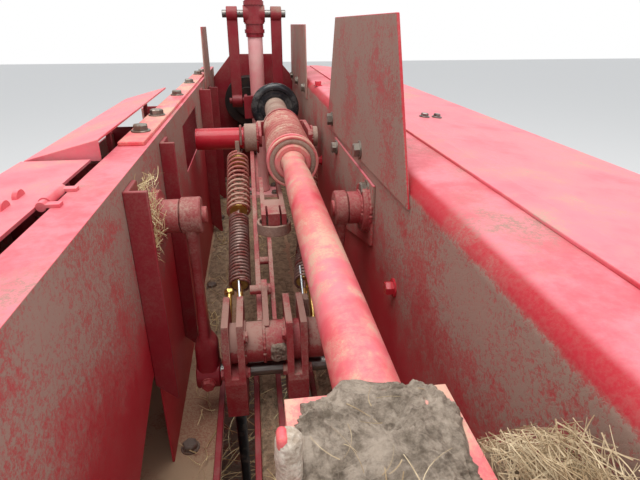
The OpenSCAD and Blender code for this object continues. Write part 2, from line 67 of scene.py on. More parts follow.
MM = 0.001
X, Y, Z = np.eye(3)
UP, LEFT, RIGHT, NEAR = Z, -X, X, -Y
HALF_LEN = 875.0  # the trough's ends are at Y -875 and 875
WALL_X, WALL_TOP = 129.0, 732.0  # inner faces of both walls and top of the left flange
PAN_TOP, DECK_TOP = 63.0, 360.0
BAR_X, BAR_Z, BAR_R = 53.0, 652.0, 21.2  # middle line and radius of the feeder bar
NEAR_Y = -745.0  # the bar's near end
FRONT_Y, LOW_Z = -304.0, 417.0  # the front levers' pivots: upper ones at BAR_Z, lower ones here
TUBE_Z = 463.0  # middle of the lower cross tube
HUB_Y = 118.0  # middle of the upper cross tube
SEAT_Y, COIL_Y, YOKE_Y = -80.0, -56.0, 208.0  # seat, coil's near end and yoke on the bar
RING_Y, RING_T, RING_R = 480.0, 28.0, 65.0
REAR_Y, POST_X = 645.0, 10.0
SLOT_X = (-50.0, 33.0)  # middle lines of the two deck slots, which the tines run in

# ---- mesh helpers


def new_object(name, data):
    """Object with this data, linked to the scene."""
    obj = bpy.data.objects.new(name, data)
    bpy.context.scene.collection.objects.link(obj)
    return obj


def piece(name, points, faces, material, body, slot, covers=(), sharp=35.0):
    """Makes a closed object from points in mm and faces, rides it on a body and paints it."""
    mesh = bpy.data.meshes.new(name)
    points = (np.asarray(points, float) * MM).tolist()
    mesh.from_pydata(points, [], [list(map(int, f)) for f in faces])
    work = bmesh.new()
    work.from_mesh(mesh)
    bmesh.ops.remove_doubles(work, verts=work.verts, dist=1e-6)
    bmesh.ops.recalc_face_normals(work, faces=work.faces)
    work.to_mesh(mesh)
    work.free()
    finish_piece(name, mesh, material, body, covers, sharp)


def finish_piece(name, mesh, material, body, covers, sharp):
    mesh.polygons.foreach_set("use_smooth", [True] * len(mesh.polygons))
    mesh.set_sharp_from_angle(angle=math.radians(sharp))
    mesh.materials.append(material)
    obj = new_object(name, mesh)
    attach(obj, body)
    if covers:
        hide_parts(*covers)
    return obj


def beveled(node, material, width, slot="red_paint"):
    """Copy of a CAD node with merged corners, flat faces joined and edges rounded `width` mm."""
    source = frame["nodes"][node]
    work = bmesh.new()
    work.from_mesh(source.data)
    bmesh.ops.remove_doubles(work, verts=work.verts, dist=1e-5)
    flat = math.radians(2)
    bmesh.ops.dissolve_limit(work, angle_limit=flat, verts=work.verts, edges=work.edges)
    name = node + "_skin"
    mesh = bpy.data.meshes.new(name)
    work.to_mesh(mesh)
    work.free()
    obj = finish_piece(name, mesh, material, source["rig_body"], (node,), 35.0)
    soften = obj.modifiers.new("soft_edges", "BEVEL")
    soften.width = width * MM
    soften.segments = 2
    soften.limit_method = "ANGLE"
    soften.angle_limit = math.radians(40)


def unit(vector):
    """Vector or rows of vectors at length 1."""
    vector = np.asarray(vector, float)
    return vector / np.linalg.norm(vector, axis=-1, keepdims=True)


def across(axis):
    """Two unit directions across an axis: u, its cross product with Z or X, and v = axis x u."""
    u = unit(np.cross(axis, Z if abs(axis[2]) < 0.9 else X))
    return u, np.cross(axis, u)


def quads(rows, cols, wrap_rows=False, wrap_cols=False):
    """Faces of a grid of rows x cols points, one quad a cell; a wrapped side joins the first."""
    r = np.arange(rows if wrap_rows else rows - 1)
    c = np.arange(cols if wrap_cols else cols - 1)
    a, b = np.meshgrid(r, c, indexing="ij")
    a1, b1 = (a + 1) % rows, (b + 1) % cols
    return np.stack([a * cols + b, a * cols + b1, a1 * cols + b1, a1 * cols + b], -1).reshape(-1, 4)


def tube_faces(rings, sides):
    """Faces of a tube of `rings` rings with `sides` points each, and a lid at both ends."""
    lids = [list(range(sides))[::-1], list(range((rings - 1) * sides, rings * sides))]
    return quads(rings, sides, wrap_cols=True).tolist() + lids


def together(*parts):
    """Joins (points, faces) pairs into one pair, with each part's face numbers moved along."""
    points, faces, base = [], [], 0
    for p, f in parts:
        points.append(np.asarray(p, float).reshape(-1, 3))
        faces += [[i + base for i in face] for face in f]
        base += len(points[-1])
    return np.vstack(points), faces


def round_outline(radius, count):
    """Circle of `count` points: radius times (cos, sin)."""
    a = np.linspace(0, 2 * np.pi, count, endpoint=False)
    return radius * np.stack([np.cos(a), np.sin(a)], -1)


def soft_outline(width, height, count, power):
    """Rounded rectangle, a superellipse: half size times sign(c) |c|^(2/power), c = cos or sin."""
    c = round_outline(1.0, count)
    return (width / 2, height / 2) * np.sign(c) * abs(c) ** (2 / power)


def sweep(path, outline, face, size=1.0):
    """Carries a closed outline along a path.

    Point (i, k) is path[i] + side_i u_k s_i + out_i v_k s_i, where side is the unit cross product
    of the tangent with `face`, out completes the frame and s is the size at i (one or two values).
    """
    path = np.asarray(path, float)
    tangent = unit(np.gradient(path, axis=0))
    side = unit(np.cross(tangent, np.broadcast_to(face, path.shape)))
    out = np.cross(side, tangent)
    size = np.asarray(size, float).reshape(-1, 1) if np.ndim(size) < 2 else size
    size = np.broadcast_to(size, (len(path), 2))
    ring = (path[:, None] + side[:, None] * (outline[None, :, :1] * size[:, None, :1])
            + out[:, None] * (outline[None, :, 1:] * size[:, None, 1:]))
    return ring.reshape(-1, 3), tube_faces(len(path), len(outline))


def turned(profile, centre, axis, count):
    """Turns a closed profile of (place along the axis, radius) rows about an axis at a point."""
    profile = np.asarray(profile, float)
    axis = np.asarray(axis, float)
    u, v = across(axis)
    a = np.linspace(0, 2 * np.pi, count, endpoint=False)[:, None, None]
    ring = np.cos(a) * u + np.sin(a) * v
    points = np.asarray(centre, float) + profile[None, :, :1] * axis + profile[None, :, 1:] * ring
    return points.reshape(-1, 3), quads(count, len(profile), True, True).tolist()


def rod(start, end, radius):
    """Round bar between two points, turned, with 0.6 mm chamfers and a hair-thin core."""
    start, end = np.asarray(start, float), np.asarray(end, float)
    length = np.linalg.norm(end - start)
    c, core = min(0.6, radius * 0.4), 0.02
    rows = [(0, core), (0, radius - c), (c, radius), (length - c, radius), (length, radius - c),
            (length, core)]
    return turned(rows, start, (end - start) / length, 20)


def block(low, high, edge):
    """Box with rounded edges, a grid over latitude b and longitude a.

    Point = centre + (half size - edge) sign(d) + edge d, d = (cos b cos a, cos b sin a, sin b).
    Each quarter of a turn has its own columns, so that the grid's wide cells are the flat sides.
    """
    low, high = np.asarray(low, float), np.asarray(high, float)
    half = (high - low) / 2
    edge = min(edge, half.min() * 0.9)
    a = np.radians([1, 45, 89, 91, 135, 179, 181, 225, 269, 271, 315, 359])
    b = np.radians([-90, -45, -1, 1, 45, 90])
    b, a = np.meshgrid(b, a, indexing="ij")
    d = np.stack([np.cos(b) * np.cos(a), np.cos(b) * np.sin(a), np.sin(b)], -1)
    way = np.stack([np.sign(np.cos(a)), np.sign(np.sin(a)), np.sign(b)], -1)
    points = (low + high) / 2 + (half - edge) * way + edge * d
    return points.reshape(-1, 3), tube_faces(6, 12)


def coil_path(start, end, radius, turns):
    """Helix from start to end: radius (cos a, sin a) across and a smooth rise along it, which
    slows to 0.22 in the first and last 0.8 turn, so that these lie nearly flat. Returns the points
    and the outward directions."""
    flat_turns, steps = 0.8, 36
    start, end = np.asarray(start, float), np.asarray(end, float)
    length = np.linalg.norm(end - start)
    along = (end - start) / length
    u = unit(np.cross(along, X))
    v = np.cross(along, u)
    t = np.linspace(0, 1, int(turns * steps) + 1)
    speed = np.clip(np.minimum(t, 1 - t) / (flat_turns / turns), 0.22, 1)
    rise = np.concatenate([[0], np.cumsum((speed[1:] + speed[:-1]) / 2)])
    rise = rise / rise[-1] * length
    a = 2 * np.pi * turns * t
    out = np.cos(a)[:, None] * u + np.sin(a)[:, None] * v
    return start + rise[:, None] * along + radius * out, out


def arc_path(centre, radius, u, v, a0, a1, steps):
    """Arc: centre + radius (cos a u + sin a v) for a between two angles in degrees."""
    a = np.radians(np.linspace(a0, a1, steps))[:, None]
    return np.asarray(centre, float) + radius * (np.cos(a) * u + np.sin(a) * v)


def rough(points, size, seed, octaves=4):
    """Smooth noise near -1..1: sums of sines of turned coordinates, each octave half the size."""
    rng = np.random.default_rng(seed)
    total = np.zeros(points.shape[:-1])
    for k in range(octaves):
        d = rng.normal(size=(3, 3))
        p = rng.uniform(0, 6.28, 3)
        w = points @ d * (2.2 * 2**k / size) + p
        total += np.sin(w[..., 0] + 1.3 * np.sin(w[..., 1])) * np.cos(w[..., 2]) / 1.7**k
    return total / 1.6


def bolts(spots, flats, height, washer):
    """Hexagon bolt heads on washers, all as one mesh.

    Each spot is (x, y, z), an outward direction and a spin in degrees. A head is three six-sided
    rings, `flats` wide: at the washer's top, below the chamfer and at its own top. A washer is a
    20-sided short cylinder with a soft upper edge.
    """
    head = ((1, 2.0), (1, 2 + height * 0.8), (0.86, 2 + height)), flats / math.sqrt(3), 6
    disc = ((1, 0.0), (1, 1.6), (0.96, 2.0)), washer / 2, 20
    shapes = []
    for levels, radius, sides in (head, disc):
        ring = round_outline(radius, sides)
        rings = [np.column_stack([share * ring, np.full(sides, h)]) for share, h in levels]
        shapes.append((np.vstack(rings), tube_faces(3, sides)))
    parts = []
    for spot, way, spin in spots:
        way = unit(way)
        u, v = across(way)
        c, s = math.cos(math.radians(spin)), math.sin(math.radians(spin))
        turn = np.stack([u * c + v * s, v * c - u * s, way])
        parts += [(p @ turn + np.asarray(spot, float), f) for p, f in shapes]
    return together(*parts)


def straws(roots, ways, lengths, radius, bend, seed):
    """Stalks as points, 18 each: a three-sided tube on a bent line of six points.

    The line is root + way t length + curl bend length t^2, where curl is a random sideways
    direction, and the tube thins to half at its end.
    """
    rng = np.random.default_rng(seed)
    n = len(roots)
    t = np.linspace(0, 1, 6)[None, :, None]
    ways = unit(ways)
    curl = rng.normal(size=(n, 3))
    curl -= (curl * ways).sum(1, keepdims=True) * ways
    line = (roots[:, None] + ways[:, None] * t * lengths[:, None, None]
            + curl[:, None] * (bend * lengths)[:, None, None] * t**2)
    side = unit(np.cross(ways, curl))
    up = np.cross(side, ways)
    a = (np.arange(3) * 2 * np.pi / 3)[None, None, :, None]
    thin = (radius * rng.uniform(0.6, 1.3, n))[:, None, None, None] * (1 - 0.5 * t[..., None])
    ring = side[:, None, None] * np.cos(a) + up[:, None, None] * np.sin(a)
    return (line[:, :, None] + ring * thin).reshape(n, 18, 3)


# ---- materials

# A pattern's Scale counts its features in a metre: 8 gives patches of 125 mm, 330 grains of 3 mm.
SMOOTH = {"clamp": True, "interpolation_type": "SMOOTHSTEP"}
COLOUR = {"data_type": "RGBA"}
TIMES = {"operation": "MULTIPLY"}
# Pale pink of chalked enamel, which also serves as painted highlight for the sky's sheen on faces
# that look up; and bare steel.
CHALK_AND_SHEEN, RUSTED = "#f08894", "#4a2a22"  # enamel gone to powder in the sun, and bare steel


def linear(code):
    """sRGB hex to linear RGBA: ((c + 0.055) / 1.055)^2.4 above 0.04045, c / 12.92 below."""
    c = np.array([int(code[i : i + 2], 16) / 255 for i in (1, 3, 5)])
    c = np.where(c > 0.04045, ((c + 0.055) / 1.055) ** 2.4, c / 12.92)
    return (*c.tolist(), 1.0)


def add(tree, kind, settings=None, *values, out=0, **named):
    """Adds a node and returns its output `out`, or the node where it has none.

    Its properties come from `settings`. Its inputs are filled with values or outputs: `values` in
    their order, such as value, from min, from max, to min, to max of a Map Range, and `named` by
    their names with spaces as underscores, or as i6, i7 by their place.
    """
    made = tree.nodes.new("ShaderNode" + kind)
    for key, value in (settings or {}).items():
        setattr(made, key, value)
    fill = list(enumerate(values))
    for key, value in named.items():
        by_place = key[0] == "i" and key[1:].isdigit()
        fill.append((int(key[1:]) if by_place else key.replace("_", " "), value))
    for place, value in fill:
        if isinstance(value, bpy.types.NodeSocket):
            tree.links.new(value, made.inputs[place])
        else:
            made.inputs[place].default_value = value
    return made.outputs[out] if len(made.outputs) else made


def new_material(name):
    """Node material, its tree and the mesh's own coordinates, in metres."""
    material = bpy.data.materials.new(name)
    material.use_nodes = True
    tree = material.node_tree
    tree.nodes.clear()
    return material, tree, add(tree, "TexCoord", out="Object")


def enamel(name, fresh, faded, dust, sides, tops, chips, fade=0.3, matt=0.45, low=None, even=0.1,
           bleach_and_sheen=0.0, shine=0.35):
    """Stove enamel on sheet steel after seasons outdoors, under tan field dust.

    The sun has paled it from `fresh` to `faded` in patches a hand wide, by `fade`, and turned it
    pale pink in 60 mm blotches on all faces that look up, by its bleach amount: partly chalking by
    the sun, partly painted highlight for the sky's sheen on upward faces; chips of 5 to 15 mm show
    rusty steel.
    Dust lies in patches on tops and clings to sides in 60 mm blotches with rubbed streaks; `even`
    fills the gaps. Its grain is 3 mm: real dust is finer, and drawn this coarse so that it shows.
    Between the two heights of `low`, in metres, it grows from a tenth to all of its level. `matt`
    is the roughness of clean enamel, `shine` its specular level.
    """
    material, tree, place = new_material(name)
    wide = add(tree, "TexNoise", Vector=place, Scale=8.0, Detail=5.0, Roughness=0.6)
    blotch = add(tree, "TexNoise", Vector=place, Scale=13.0, Detail=9.0, Roughness=0.72)
    speck = add(tree, "TexNoise", Vector=place, Scale=330.0, Detail=5.0, Roughness=0.8)
    chip = add(tree, "TexNoise", Vector=place, Scale=48.0, Detail=7.0, Roughness=0.72)
    drawn = add(tree, "Mapping", Vector=place, Scale=(60.0, 14.0, 34.0), Rotation=(0.7, 0.0, 0.0))
    streak = add(tree, "TexNoise", Vector=drawn, Scale=1.0, Detail=7.0, Roughness=0.75)
    up = add(tree, "SeparateXYZ", None, add(tree, "NewGeometry", out="Normal"), out="Z")

    sun = add(tree, "MapRange", SMOOTH, wide, 0.38, 0.62, fade * 0.35, min(fade * 1.3, 1))
    rub = add(tree, "MapRange", SMOOTH, streak, 0.54, 0.74, 0.0, 0.3)
    # Pale pink blotches on faces that look up: chalking by the sun, and painted highlight for the
    # sky's sheen.
    chalk_and_sheen = add(tree, "MapRange", SMOOTH, blotch, 0.38, 0.6, bleach_and_sheen * 0.55, bleach_and_sheen * 1.1)
    chalk_and_sheen = add(tree, "MapRange", SMOOTH, up, 0.8, 0.995, 0.0, chalk_and_sheen)
    bare = add(tree, "MapRange", SMOOTH, chip, 0.73 - 0.06 * chips, 0.75 - 0.05 * chips, 0.0, 0.85)

    patch = add(tree, "MapRange", SMOOTH, wide, 0.46, 0.64, tops * 0.35, tops * 1.5)
    cover = add(tree, "MapRange", SMOOTH, up, 0.03, 0.4, sides, patch)
    if low is not None:
        height = add(tree, "SeparateXYZ", None, place, out="Z")
        height = add(tree, "Math", {"operation": "MULTIPLY_ADD"}, wide, 0.2, height)
        rise = add(tree, "MapRange", SMOOTH, height, low[0] + 0.1, low[1] + 0.1, 0.1, 1.0)
        cover = add(tree, "Math", TIMES, cover, rise)
    lie = add(tree, "MapRange", SMOOTH, blotch, 0.36, 0.64, even, 1.6 - even * 0.5)
    scrub = add(tree, "MapRange", SMOOTH, streak, 0.46, 0.66, 1.1, 0.45 + 0.5 * even)
    fine = add(tree, "MapRange", SMOOTH, speck, 0.38, 0.62, 0.4, 1.3)
    cover = add(tree, "Math", TIMES, add(tree, "Math", TIMES, cover, lie), scrub)
    cover = add(tree, "Math", {**TIMES, "use_clamp": True}, cover, fine)

    colour = linear(fresh)
    layers = (sun, faded), (rub, faded), (chalk_and_sheen, CHALK_AND_SHEEN), (bare, RUSTED), (cover, dust)
    for share, over in layers:
        colour = add(tree, "Mix", COLOUR, share, i6=colour, i7=linear(over), out=2)
    crust = add(tree, "Math", TIMES, speck, cover)
    height = add(tree, "Math", {"operation": "MULTIPLY_ADD"}, blotch, 0.8, crust)
    look = add(tree, "BsdfPrincipled", Base_Color=colour, Specular_IOR_Level=shine,
               Roughness=add(tree, "MapRange", SMOOTH, cover, 0.0, 0.8, matt, 0.88),
               Normal=add(tree, "Bump", Strength=0.4, Distance=0.0009, Height=height))
    add(tree, "OutputMaterial", None, look)
    return material


def steel(name, tone, stain, rust=0.35, matt=0.35, metal=0.85):
    """Drawn or ground steel with rust and dust in its low places: stains 20 mm wide that are matt
    and not metal, more of them with `rust`, over a grain of 2 mm."""
    material, tree, place = new_material(name)
    spot = add(tree, "TexNoise", Vector=place, Scale=40.0, Detail=7.0, Roughness=0.7)
    grain = add(tree, "TexNoise", Vector=place, Scale=420.0, Detail=2.0)
    share = add(tree, "MapRange", SMOOTH, spot, 0.62 - 0.28 * rust, 0.72 - 0.2 * rust)
    colour = add(tree, "Mix", COLOUR, share, i6=linear(tone), i7=linear(stain), out=2)
    look = add(tree, "BsdfPrincipled", Base_Color=colour,
               Metallic=add(tree, "MapRange", SMOOTH, share, 0.0, 1.0, metal, 0.05),
               Roughness=add(tree, "MapRange", SMOOTH, share, 0.0, 1.0, matt, 0.85),
               Normal=add(tree, "Bump", Strength=0.3, Distance=0.0006, Height=grain))
    add(tree, "OutputMaterial", None, look)
    return material


def earth(name, dark, light, scale=60.0, depth=0.004):
    """Dried mud and chaff: matt crumbs of 3 to 15 mm, paler where the crust has dried."""
    material, tree, place = new_material(name)
    crumb = add(tree, "TexVoronoi", {"feature": "F1"}, Vector=place, Scale=scale * 3)
    crumb = add(tree, "MapRange", SMOOTH, crumb, 0.0, 0.7, 0.0, 0.5)
    lump = add(tree, "TexNoise", Vector=place, Scale=scale, Detail=9.0, Roughness=0.75)
    share = add(tree, "MapRange", SMOOTH, lump, 0.36, 0.64)
    height = add(tree, "Math", {"operation": "ADD"}, lump, crumb)
    colour = add(tree, "Mix", COLOUR, share, i6=linear(dark), i7=linear(light), out=2)
    look = add(tree, "BsdfPrincipled", Base_Color=colour, Roughness=0.95,
               Normal=add(tree, "Bump", Strength=0.9, Distance=depth, Height=height))
    add(tree, "OutputMaterial", None, look)
    return material


def dry_stalk(name, pale, brown):
    """Dry grass and straw: waxy pale stalks whose tone changes every few centimetres."""
    material, tree, place = new_material(name)
    tone = add(tree, "TexNoise", Vector=place, Scale=34.0, Detail=4.0, Roughness=0.7)
    share = add(tree, "MapRange", SMOOTH, tone, 0.32, 0.68)
    colour = add(tree, "Mix", COLOUR, share, i6=linear(pale), i7=linear(brown), out=2)
    look = add(tree, "BsdfPrincipled", Base_Color=colour, Roughness=0.6)
    add(tree, "OutputMaterial", None, look)
    return material


def wiped_rubber(name, black, film):
    """Moulded rubber with a wiped, almost wet shine under a film of dust in 30 mm clouds."""
    material, tree, place = new_material(name)
    cloud = add(tree, "TexNoise", Vector=place, Scale=30.0, Detail=6.0, Roughness=0.7)
    share = add(tree, "MapRange", SMOOTH, cloud, 0.42, 0.75, 0.0, 0.5)
    colour = add(tree, "Mix", COLOUR, share, i6=linear(black), i7=linear(film), out=2)
    look = add(tree, "BsdfPrincipled", Base_Color=colour,
               Roughness=add(tree, "MapRange", SMOOTH, share, 0.0, 0.5, 0.18, 0.6))
    add(tree, "OutputMaterial", None, look)
    return material


# Red stove enamel of the feeder bar, a drawn tube: paled to pink along its top by the sun, and
# paler still there as painted highlight for the sky's sheen, with grainy tan dust in patches, and
# bright red where the straw rubs it clean.
paint_bar = enamel("sunlit_red_enamel", "#e02c40", "#f88a92", "#dfb09a", fade=0.7, sides=0.45,
                   tops=1.3, matt=0.34, chips=0.1, even=0.0, bleach_and_sheen=0.3, shine=0.3)
# The same enamel on the upright post, painted pale pink all round: painted light for the bright sky
# light that falls on it.
paint_pale_sky_lit = enamel("sky_lit_pale_red_tube", "#f0868d", "#ffc0bf", "#ecc7b8", fade=0.9, sides=0.3,
                    tops=0.4, chips=0.05, bleach_and_sheen=0.5, shine=0.2)
# Red enamel of the flat cover sheets: pressed sheet that faces the sky; chalked to pale pink by the
# sun, and paler still as painted highlight for the sky's sheen on it.
paint_cover = enamel("sun_faded_red_enamel", "#c9263a", "#ee7f8a", "#c79c90", fade=0.7, sides=0.2,
                     tops=0.5, matt=0.42, chips=0.12, bleach_and_sheen=0.75, shine=0.15)
# Red enamel of the bent trough walls: grey-brown field dust hides it near the top and thins to
# crimson lower down; the bend and the flange on top are swept clean and sun-paled, and the flange's
# flat top is paler still as painted highlight for the sky's sheen.
paint_wall = enamel("dusty_red_enamel_sheet", "#b8162b", "#c8404d", "#a5887b", sides=1.25,
                    tops=0.4, chips=0.2, low=(0.53, 0.705), even=0.5, bleach_and_sheen=0.85, shine=0.15)
# Red enamel of forged and cut parts inside the trough: thick dip paint, dusty on upper faces.
paint_part = enamel("red_enamel_forging", "#9c1626", "#b73846", "#b48e82", fade=0.35, sides=0.28,
                    tops=1.2, matt=0.36, chips=0.35, even=0.25, bleach_and_sheen=0.1)
# The forged levers' dip paint: dust only on the upper eyes; below them a darker crimson with the
# dust fading out downwards, painted shade that makes the paddles deep crimson.
paint_lever_shaded_low = enamel("red_lever_enamel_shaded_low", "#8a0f20", "#a82a3a", "#b48e82", sides=0.6,
                     tops=1.2, matt=0.36, chips=0.25, low=(0.5, 0.68), even=0.3)
# The same dip paint, darker and with little dust on its sides, for frames, rails, brackets and arms
# in the trough: painted shade, near-black crimson.
paint_shaded_dark = enamel("shade_painted_dark_red_enamel", "#860f20", "#9a2434", "#947568", sides=0.16,
                    tops=0.5, matt=0.4, chips=0.25, even=0.2, bleach_and_sheen=0.15)
# Wiped red enamel of the cross tube and painted bolts: bright and wet-looking, hardly any dust.
paint_gloss = enamel("wiped_red_enamel_tube", "#bd1328", "#d93a4b", "#a08074", sides=0.05,
                     tops=0.1, matt=0.2, chips=0.12)
# Turned steel bushes and sleeve that oil has coated with tan dust: matt, sandy, a little pink.
dust_coat = enamel("dust_coated_steel", "#8a6156", "#a5877a", "#b59d8d", fade=0.6, sides=0.85,
                   tops=0.9, matt=0.6, chips=0.1, even=0.7)
# Deck sheet under trodden dirt: brown crust with red showing through in places; the dust is drawn
# light tan, partly painted light for the daylight that reaches the deck under the walls.
deck_dirt_and_painted_light = enamel("deck_enamel_under_dirt_painted_light", "#8f5446", "#a06b59", "#b0967b", fade=0.5, sides=0.8,
                   tops=1.9, matt=0.6, chips=0.3, even=0.95, shine=0.1)
# Cold-wound spring wire, painted red and dusted on the upper side of each turn.
coil_steel = enamel("dusty_red_spring_steel", "#a33236", "#c4605c", "#cfab98", fade=0.5, sides=0.5,
                    tops=0.95, chips=0.3, even=0.4)
# Channel floor: sheet that the crop polishes, with rust in streaks.
worn_pan = steel("straw_polished_steel_pan", "#8d8781", "#6b4634", rust=0.5)
# Unpainted extension springs: drawn wire gone brown-grey, still glinting on the turns.
grey_spring = steel("stained_spring_steel", "#ab8f86", "#84443c", rust=0.6, matt=0.42, metal=0.5)
# Zinc-plated bolts whose plating has dulled: grey with tan dirt around the corners.
bolt_steel = steel("weathered_zinc_bolt", "#8c857c", "#6d5648", rust=0.45, matt=0.42)
# Pivot shafts: ground steel with an oil film.
shaft_steel = steel("oiled_shaft_steel", "#7d7a76", "#4f4038", matt=0.3)
# Adjusting rods with yellow chromate over zinc: straw-gold, satin.
gold_zinc = steel("yellow_zinc_rod", "#e0bd72", "#a98a55", rust=0.15, matt=0.3)
# Galvanised flat strip beside the rod: cold pale grey.
pale_zinc = steel("galvanised_strip", "#c9d4dc", "#98a0a6", rust=0.15, metal=0.5)
# Hardened tines: heat-blued black steel, worn bright at the edges.
black_tine = steel("blued_tine_steel", "#1c1e22", "#4a4038", metal=0.5)
# Drive housing: rough casting under oil and dirt. The same near-black is painted shade on the side
# tray, which keeps the gap beside the side lid black.
case_iron_and_shade = steel("oily_cast_case_and_painted_shade", "#2c2726", "#3d3029", rust=0.5, matt=0.5, metal=0.3)
# Moulded rubber ring: dark grey with a smooth skin that mirrors the sky.
rubber = wiped_rubber("moulded_rubber_buffer", "#23252a", "#8a8680")
# Field mud dried on the near bracket: grey-tan crust with darker damp hollows.
mud = earth("dried_grey_mud", "#766859", "#bcab9a", depth=0.006)
# Pale dust crust on the bracket's lug pin: the same mud dried out to a light grey-tan skin.
pale_mud = earth("pale_dried_crust", "#b09d8a", "#e9dccb", scale=120.0, depth=0.002)
# Dirt and chaff trodden onto the deck: brown crumbs.
crust = earth("brown_chaff_crust", "#7d6853", "#b39a7e", scale=90.0)
# Hay caught beside the bracket: this season's, pale and waxy.
hay = dry_stalk("dry_hay_stalk", "#dcc8a4", "#a08664")
# Straw in the channel and on the deck: a pale gold mat, drawn paler still as painted light for the
# daylight that reaches into the shaded channel.
straw = dry_stalk("straw_painted_pale_for_light", "#ecdcae", "#b79a66")

# ---- CAD nodes kept, softened edges

# node, material, width of the rounded edges and, where it is not red_paint, the slot
SKINS = [
    ("bearers", paint_shaded_dark, 1.5),
    ("base_rails", paint_shaded_dark, 1.5),
    ("floor_pan", worn_pan, 0.6, "worn_steel"),
    ("channel_side", paint_wall, 0.8),
    ("channel_posts", paint_part, 1.5),
    ("near_end", paint_wall, 0.8),
    ("outlet_flange", paint_part, 0.8),
    ("deck", deck_dirt_and_painted_light, 0.6),
    ("slot_strips", deck_dirt_and_painted_light, 0.6, "worn_steel"),
    ("slot_rails", paint_shaded_dark, 1.0),
    ("left_wall", paint_wall, 0.8),
    ("left_stiffeners", paint_shaded_dark, 1.0, "dark_red"),
    ("flange_strap", paint_bar, 1.2),
    ("right_wall", paint_wall, 0.8),
    ("right_cover", paint_cover, 0.8, "faded_red"),
    ("right_struts", paint_shaded_dark, 1.0, "dark_red"),
    ("guard_near_right", paint_wall, 0.8, "faded_red"),
    ("guard_far_right", paint_wall, 0.8, "faded_red"),
    ("guard_far_left", paint_wall, 0.8, "faded_red"),
    ("patch_plate", paint_wall, 0.8),
    ("front_pivots", paint_part, 1.2),
    ("rear_post", paint_pale_sky_lit, 1.0),
    ("post_head", paint_shaded_dark, 1.2, "dark_red"),
    ("bulkhead", paint_shaded_dark, 0.8),
    ("drive_case", case_iron_and_shade, 2.0, "black_paint"),
    ("side_brackets", paint_shaded_dark, 0.8, "dark_red"),
    ("left_cover", paint_cover, 0.8, "faded_red"),
    ("side_panel", paint_wall, 1.0),
    # side tray: near-black, painted shade that keeps the gap beside the side lid black
    ("side_tray", case_iron_and_shade, 0.6),
    ("centre_links", paint_part, 1.0),
    ("link_collar", dust_coat, 1.0, "dusty_steel"),
    ("side_lid", paint_cover, 0.8, "faded_red"),
    ("lid_hinges", paint_cover, 0.4),
    ("lower_shaft", shaft_steel, 1.0, "worn_steel"),
    ("rear_arms", paint_shaded_dark, 1.5, "dark_red"),
    ("rear_shaft", shaft_steel, 1.0, "worn_steel"),
    ("lower_cross_tube", paint_part, 0.8),
    ("tine_clamps", paint_part, 1.5),
    ("near_bracket", paint_bar, 3.0),
    ("spring_yoke", paint_part, 1.2),
    ("rear_yoke", paint_shaded_dark, 1.2),
    ("yoke_hubs", dust_coat, 1.5, "dusty_steel"),
    ("upper_cross_tube", paint_gloss, 1.0),
    ("carriage_plate", paint_part, 1.0),
    ("spring_hooks", dust_coat, 1.0),
    ("spring_links", gold_zinc, 0.6, "zinc"),
]
for row in SKINS:
    beveled(*row)

# ---- feeder bar and what sits on it

BAR_LINE = (BAR_X, 0, BAR_Z)  # a point on the bar's axis, which runs along Y
NECK_Y = -90.0  # end of the neck, in the spring seat
FAR_Y = YOKE_Y + 120  # far end of the plain inner tube, beyond the yoke
BAR_ROWS = [(NEAR_Y, BAR_R - 4), (NEAR_Y, BAR_R - 0.8), (NEAR_Y + 0.8, BAR_R), (-230, BAR_R),
            (-170, BAR_R - 0.8), (-125, BAR_R - 2.6), (-100, BAR_R - 2.8), (NECK_Y, BAR_R - 1.0),
            (SEAT_Y, BAR_R), (FAR_Y - 1, BAR_R), (FAR_Y, BAR_R - 1), (FAR_Y, BAR_R - 4)]
piece("feeder_bar_tube", *turned(BAR_ROWS, BAR_LINE, Y, 72), paint_bar, "carriage", "faded_red",
      ("feeder_bar",), sharp=30)


def ring_rows():
    """Outer line of the rubber ring: a 28 mm wide band with 11 mm round shoulders, and a face with
    a shallow groove round the steel bush."""
    y0, y1, soft = RING_Y, RING_Y + RING_T, 11
    a = np.radians(np.linspace(180, 90, 9))
    near = np.stack([y0 + soft + soft * np.cos(a), RING_R - soft + soft * np.sin(a)], -1)
    far = np.stack([y1 - soft - soft * np.cos(a[::-1]), near[::-1, 1]], -1)
    face = [(y0 + 1.5, 30.0), (y0 + 1.5, 38.0), (y0 + 4.0, 40.0), (y0 + 4.0, 46.0),
            (y0 + 0.5, 49.0)]
    return np.vstack([face, near, far, [(y1, 30.0)]])


def sleeve_rows():
    """Outer line of the sleeve: 29 mm less nine grooves of 2.2 mm times a cosine's sixth power."""
    y = np.linspace(YOKE_Y + 8.5, RING_Y + 2, 150)
    share = (y - y[0]) / (y[-1] - y[0])
    r = 29.0 - 2.2 * np.clip(np.cos(share * 2 * np.pi * 9), 0, 1) ** 6
    end = RING_Y + RING_T - 0.5
    return np.vstack([[(y[0], 21.6)], np.stack([y, r], -1), [(end, 28.9), (end, 21.6)]])


piece("rubber_buffer_ring", *turned(ring_rows(), BAR_LINE, Y, 96), rubber, "carriage",
      "black_paint", ("buffer_ring",), sharp=40)
piece("ribbed_sleeve", *turned(sleeve_rows(), BAR_LINE, Y, 64), dust_coat, "carriage",
      "dusty_steel", ("sleeve",), sharp=50)

# ---- forged levers and tines


